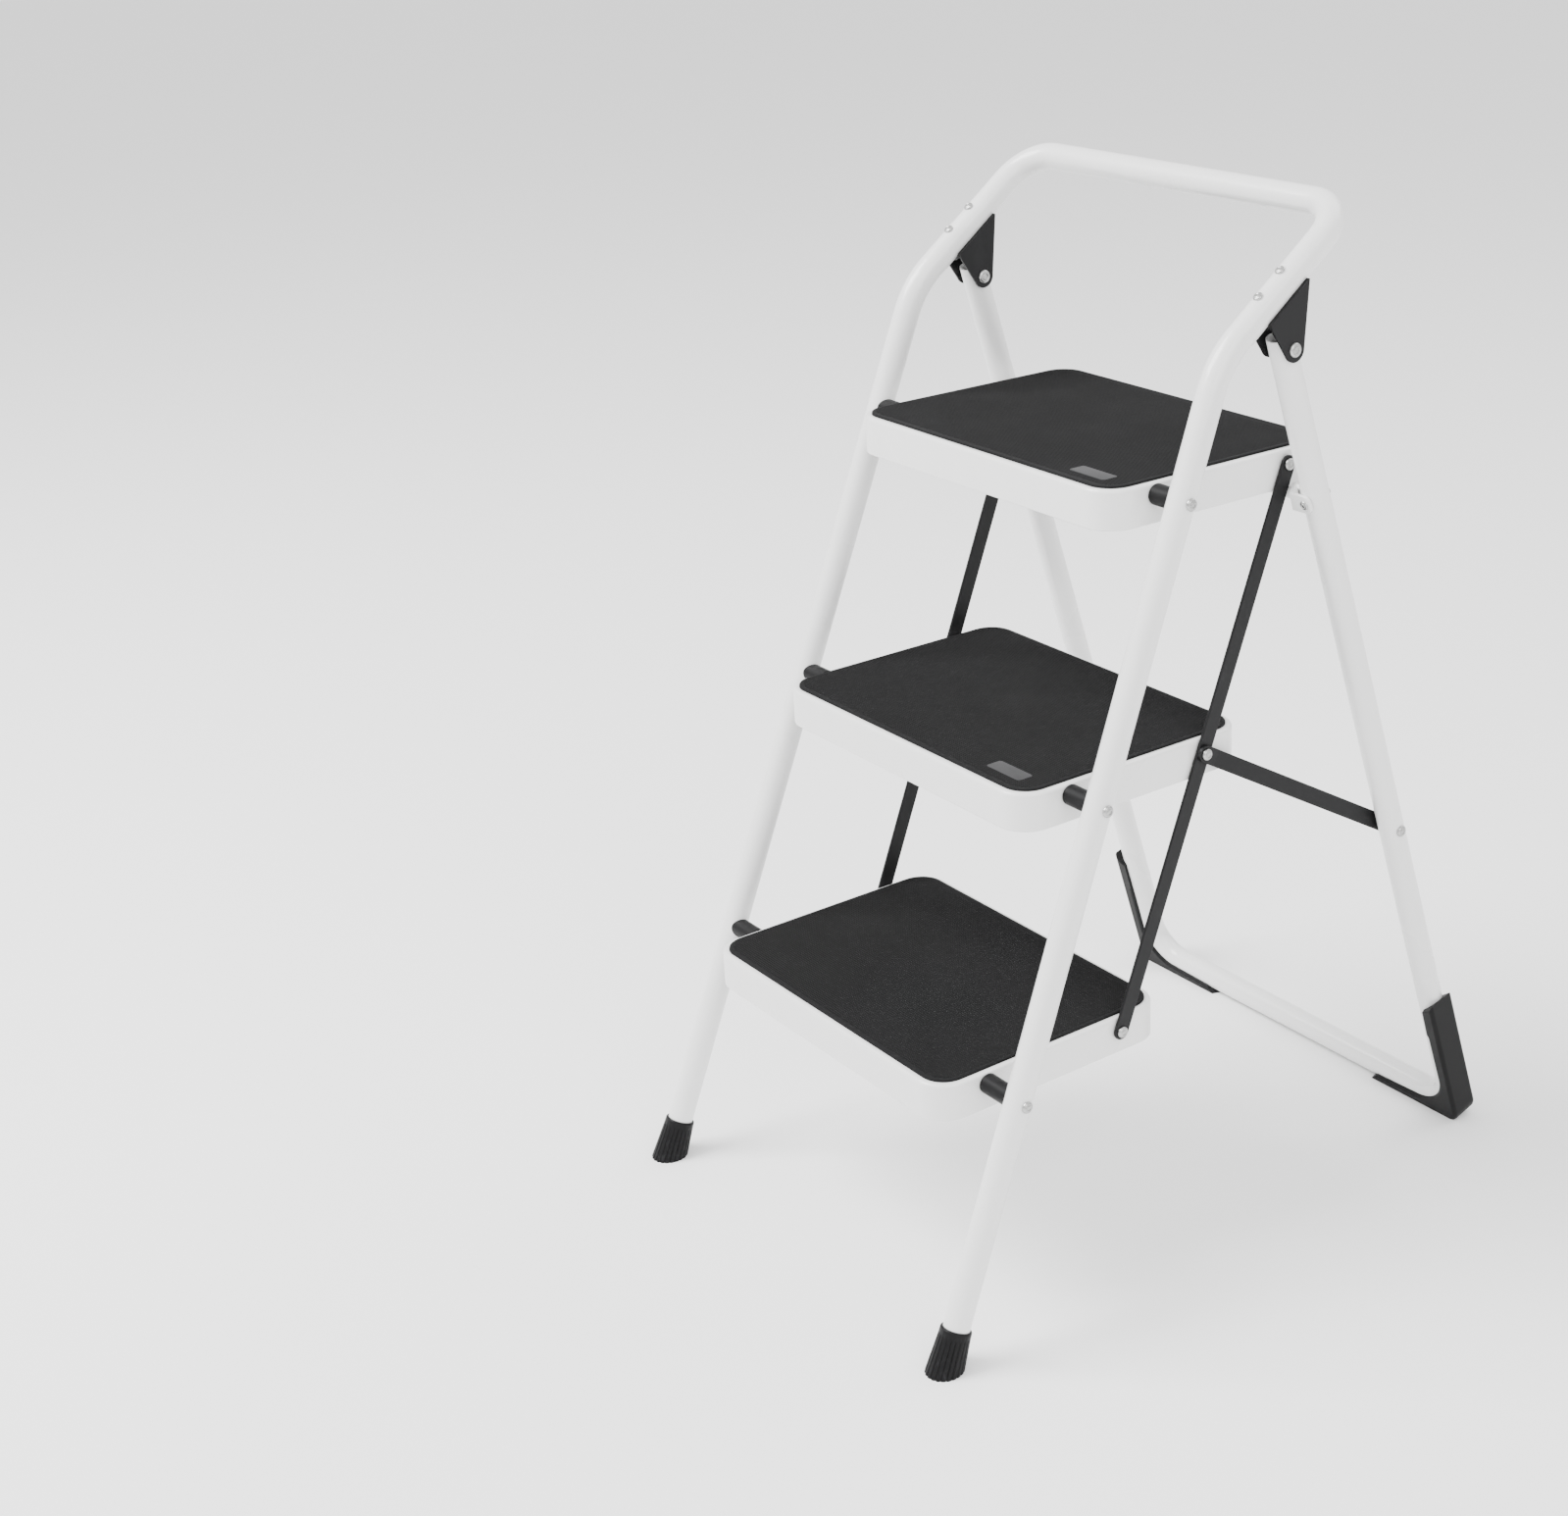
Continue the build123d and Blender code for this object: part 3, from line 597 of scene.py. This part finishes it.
def rivet_heads(node):
    """Middle, outward axis and radius of the heads of every rivet in a CAD node."""
    heads = []
    for points in islands(node):
        lowest, highest = points.min(axis=0), points.max(axis=0)
        middle = (lowest + highest) / 2
        # A turned shape spreads alike in two directions: its axis is the third.
        spread_by, directions = np.linalg.eigh(np.cov((points - middle).T))
        narrow, middling, wide = spread_by
        axis = directions[:, 0 if wide - middling < middling - narrow else 2]
        axis = axis * np.sign(axis[np.abs(axis).argmax()])
        ends = []
        for sense in (-1, 1):
            along = (points - middle) @ (axis * sense)
            end = along.max()
            near = points[along > end - HEAD_DEPTH]
            centre = middle + axis * sense * end
            flat = near - centre
            flat = flat - np.outer(flat @ axis, axis)
            ends.append((centre, axis * sense, np.linalg.norm(flat, axis=1).max()))
        widest = max(radius for _, _, radius in ends)
        heads += [end for end in ends if end[2] > HEAD_AGAINST_WIDEST * widest]
    return heads


def points_mesh(name, places, attributes):
    """Loose points with an attribute for each name."""
    mesh = bpy.data.meshes.new(name)
    mesh.from_pydata([tuple(p) for p in places], [], [])
    for label, kind, key, values in attributes:
        layer = mesh.attributes.new(label, kind, "POINT")
        layer.data.foreach_set(key, np.asarray(values, dtype=np.float32).ravel())
    return mesh


def merge_into(name, parts):
    """One object from several, all at the origin."""
    shape = bmesh.new()
    for part in parts:
        shape.from_mesh(part.data)
        bpy.data.objects.remove(part)
    mesh = bpy.data.meshes.new(name)
    shape.to_mesh(mesh)
    shape.free()
    smooth_by_angle(mesh)
    return add_object(name, mesh)


# Operators


class STOOL_OT_finishes(Operator):
    """Give every CAD node that stays its own finish"""

    bl_idname = "stool.finishes"
    bl_label = "Finishes"

    def execute(self, context):
        chosen = context.scene.stool_finishes
        groups = (
            (COATED_WHITE, white_coat(chosen.white)),
            (COATED_BLACK, black_coat(chosen.black)),
            (PLATED, zinc_plate(chosen.zinc)),
            (MOULDED, moulded(chosen.moulding)),
        )
        for names, material in groups:
            for name in names:
                node = frame["nodes"][name]
                for slot in node.material_slots:
                    slot.material = material
                if not node.material_slots:
                    raise RuntimeError(f"{name} has no material slot")
        mat_rubber(chosen.rubber)
        patch_rubber(chosen.rubber)
        return {"FINISHED"}


class STOOL_OT_mats(Operator):
    """Make the ribbed mat of each tread"""

    bl_idname = "stool.mats"
    bl_label = "Ribbed mats"

    def execute(self, context):
        size = context.scene.stool_mats
        rubber = bpy.data.materials["tread_rubber"]
        tree = rib_tree(rubber)
        for tread in TREADS:
            low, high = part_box(f"{tread}_mat")
            centre = (low + high) / 2
            half = ((high.x - low.x) / 2, (high.y - low.y) / 2)
            field = high.z - size.rib_height
            profile = (
                (0.0, low.z),
                (0.0, high.z - MAT_EDGE),
                (0.3 * MAT_EDGE, high.z - 0.3 * MAT_EDGE),
                (MAT_EDGE, high.z),
                (size.border - MAT_EDGE, high.z),
                (size.border, field),
            )
            shape = bmesh.new()
            slab(shape, centre, half, size.corner, profile)
            body = add_object(f"{tread}_mat_body", mesh_from(f"{tread}_mat_body", shape))

            reach = half[1] - size.border - size.pitch / 2
            count = int(2 * reach / size.pitch)
            offsets = [(i - (count - 1) / 2) * size.pitch for i in range(count)]
            places = [(centre.x, centre.y + y, field) for y in offsets]
            away = [abs(y) + size.rib_width / 2 for y in offsets]
            attributes = [("from_middle", "FLOAT", "value", away)]
            points = points_mesh(f"{tread}_ribs", places, attributes)
            values = {
                "Half width": half[0] - size.border,
                "Half depth": half[1] - size.border,
                "Corner": size.corner - size.border,
                "Rib width": size.rib_width,
                "Rib height": size.rib_height,
            }
            ribs = settle(add_object(f"{tread}_ribs", points), tree, values)
            mat = merge_into(f"ribbed_mat_{tread}", [body, ribs])
            mat.data.materials.append(rubber)
            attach(mat, f"{tread}_tread")
            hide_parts(f"{tread}_mat")
        return {"FINISHED"}


class STOOL_OT_patches(Operator):
    """Make the plain patch near the front right corner of the two upper mats"""

    bl_idname = "stool.patches"
    bl_label = "Plain patches"

    def execute(self, context):
        size = context.scene.stool_mats
        for tread in ("top", "middle"):
            low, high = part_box(f"{tread}_mat")
            centre = (high.x - PATCH_FROM_SIDE, low.y + PATCH_FROM_FRONT)
            half = (size.patch_length / 2, size.patch_width / 2)
            top = high.z + PATCH_PROUD
            shape = bmesh.new()
            profile = ((0, high.z - PATCH_SUNK), (0, high.z), (PATCH_EDGE, top))
            slab(shape, centre, half, PATCH_CORNER, profile)
            patch = add_object(f"mat_patch_{tread}", mesh_from(f"mat_patch_{tread}", shape))
            patch.data.materials.append(bpy.data.materials["patch_rubber"])
            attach(patch, f"{tread}_tread")
        return {"FINISHED"}


class STOOL_OT_feet(Operator):
    """Make the fluted rubber cap on each front leg"""

    bl_idname = "stool.feet"
    bl_label = "Fluted feet"

    def execute(self, context):
        size = context.scene.stool_feet
        floor_x, floor_y, _ = frame["record"]["mounts"][0]["pos_m"]
        pin_low, pin_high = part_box("lower_front_pins")
        pin = (pin_low + pin_high) / 2
        segments = size.flutes * STEPS_PER_FLUTE
        for word, side in SIDES.items():
            start = Vector((side * floor_x, floor_y, 0))
            along = Vector((-side * size.splay * pin.z, pin.y - floor_y, pin.z)).normalized()
            across = Vector((1, 0, 0)) - along * along.x
            across.normalize()
            third = along.cross(across)
            shape = bmesh.new()
            run = size.height
            # Height up the leg, radius, share of the flute's depth
            stack = (
                (-CUT_BELOW_FLOOR, size.floor_radius + 0.9 * MM, 1.0),
                (2 * MM, size.floor_radius - 0.1 * MM, 1.0),
                (0.45 * run, (size.floor_radius + size.top_radius) / 2, 1.0),
                (run - 8 * MM, size.top_radius + 0.3 * MM, 1.0),
                (run - 6 * MM, size.top_radius + 0.2 * MM, 0.0),
                (run - 1.2 * MM, size.top_radius, 0.0),
                (run, size.top_radius - 1.0 * MM, 0.0),
                (run, size.bore, 0.0),
                (BORE_END, size.bore, 0.0),
            )
            rings = []
            for height, radius, share in stack:
                ring = []
                for i in range(segments):
                    turn = 2 * pi * i / segments
                    groove = max(0.0, cos(size.flutes * turn)) ** 2
                    reach = radius - share * groove * size.flute_depth
                    outward = across * cos(turn) + third * sin(turn)
                    ring.append(shape.verts.new(start + along * height + outward * reach))
                rings.append(ring)
            join_rings(shape, rings)
            shape.faces.new(rings[0])
            shape.faces.new(rings[-1])
            everything = list(shape.verts) + list(shape.edges) + list(shape.faces)
            cut = bmesh.ops.bisect_plane(
                shape, geom=everything,
                plane_co=(0, 0, 0), plane_no=(0, 0, -1), clear_outer=True,
            )
            loop = [item for item in cut["geom_cut"] if isinstance(item, bmesh.types.BMEdge)]
            bmesh.ops.contextual_create(shape, geom=loop)
            foot = add_object(f"fluted_foot_{word}", mesh_from(f"fluted_foot_{word}", shape))
            foot.data.materials.append(bpy.data.materials["black_moulding"])
            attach(foot, "front_frame")
            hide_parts(f"front_foot_{word}")
        return {"FINISHED"}


class STOOL_OT_rims(Operator):
    """Make the rolled rim on every rivet head"""

    bl_idname = "stool.rims"
    bl_label = "Rivet rims"

    def execute(self, context):
        zinc = bpy.data.materials["zinc_plate"]
        tree = rim_tree(zinc)
        for body, nodes in RIMMED.items():
            heads = [head for node in nodes for head in rivet_heads(node)]
            places, axes, radii = zip(*heads)
            attributes = [
                ("axis", "FLOAT_VECTOR", "vector", axes),
                ("head", "FLOAT", "value", radii),
            ]
            name = f"rivet_rims_{body}"
            rims = add_object(name, points_mesh(name, places, attributes))
            settle(rims, tree, {"Rim share": RIM_SHARE, "Wire share": WIRE_SHARE})
            smooth_by_angle(rims.data)
            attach(rims, body)
        return {"FINISHED"}


class STOOL_OT_stage(Operator):
    """Make the floor, the lights and the camera"""

    bl_idname = "stool.stage"
    bl_label = "Stage"

    def execute(self, context):
        scene = context.scene
        size = scene.stool_stage
        shape = bmesh.new()
        bmesh.ops.create_grid(shape, x_segments=1, y_segments=1, size=FLOOR_REACH)
        floor = add_object("floor", mesh_from("floor", shape))
        paper = Finish("pale_floor")
        paper.colour(tuple(size.floor), scaled(size.floor, 0.99), paper.noise(3, 2.0))
        paper.rough(0.62 + paper.noise(40, 2.0) * 0.05)
        floor.data.materials.append(paper.material)

        world = bpy.data.worlds.new("studio")
        world.use_nodes = True
        background = world.node_tree.nodes["Background"].inputs
        background["Color"].default_value = (1, 1, 1, 1)
        background["Strength"].default_value = size.surround
        scene.world = world
        low, high = CAD_BOX
        middle = (low + high) / 2
        lights = (
            ("key", (-1.6, -2.2, 3.2), 2.2, size.key_power),
            ("fill", (3.0, -0.8, 2.0), 2.4, size.fill_power),
            ("rear", (0.4, 2.6, 2.8), 2.0, 0.6 * size.fill_power),
        )
        for name, offset, width, power in lights:
            light = bpy.data.lights.new(name, "AREA")
            light.shape = "SQUARE"
            light.size = width
            light.energy = power
            lamp = add_object(name, light)
            lamp.location = middle + Vector(offset)
            lamp.rotation_euler = (-Vector(offset)).to_track_quat("-Z", "Y").to_euler()
        make_camera(scene)
        return {"FINISHED"}


def make_camera(scene):
    """Camera a little above and to the right, level but for a slight roll."""
    azimuth, elevation, roll = radians(52.517), radians(22.778), radians(-1.499)
    target = Vector((0.0746, -0.1550, 0.4878))
    distance = 2.1805
    level = cos(elevation)
    back = Vector((sin(azimuth) * level, -cos(azimuth) * level, sin(elevation)))
    right = Vector((cos(azimuth), sin(azimuth), 0))
    up = back.cross(right)
    turned_right = right * cos(roll) + up * sin(roll)
    turned_up = up * cos(roll) - right * sin(roll)
    data = bpy.data.cameras.new("camera")
    data.sensor_width = 36.0
    data.lens = 55.86
    data.shift_x = -0.1254
    camera = add_object("camera", data)
    turn = Matrix((turned_right, turned_up, back)).transposed().to_4x4()
    camera.matrix_world = Matrix.Translation(target + back * distance) @ turn
    scene.camera = camera


class STOOL_PT_panel(Panel):
    bl_label = "Step stool"
    bl_idname = "STOOL_PT_panel"
    bl_space_type = "VIEW_3D"
    bl_region_type = "UI"
    bl_category = "Step stool"

    def draw(self, context):
        for group in GROUPS:
            settings = getattr(context.scene, group)
            for name in settings.bl_rna.properties.keys():
                if name not in ("rna_type", "name"):
                    self.layout.prop(settings, name)
        for operator in OPERATORS:
            self.layout.operator(operator.bl_idname)


GROUPS = {
    "stool_finishes": StoolFinishes,
    "stool_mats": MatSizes,
    "stool_feet": FootSizes,
    "stool_stage": StageSizes,
}
OPERATORS = (
    STOOL_OT_finishes, STOOL_OT_mats, STOOL_OT_patches, STOOL_OT_feet,
    STOOL_OT_rims, STOOL_OT_stage,
)


def register():
    for made in (*GROUPS.values(), *OPERATORS, STOOL_PT_panel):
        bpy.utils.register_class(made)
    for name, group in GROUPS.items():
        setattr(bpy.types.Scene, name, PointerProperty(type=group))


def unregister():
    for name in GROUPS:
        delattr(bpy.types.Scene, name)
    for made in reversed((*GROUPS.values(), *OPERATORS, STOOL_PT_panel)):
        bpy.utils.unregister_class(made)


def main():
    register()
    bpy.ops.stool.finishes()
    bpy.ops.stool.mats()
    bpy.ops.stool.patches()
    bpy.ops.stool.feet()
    bpy.ops.stool.rims()
    bpy.ops.stool.stage()


if __name__ == "__main__":
    main()
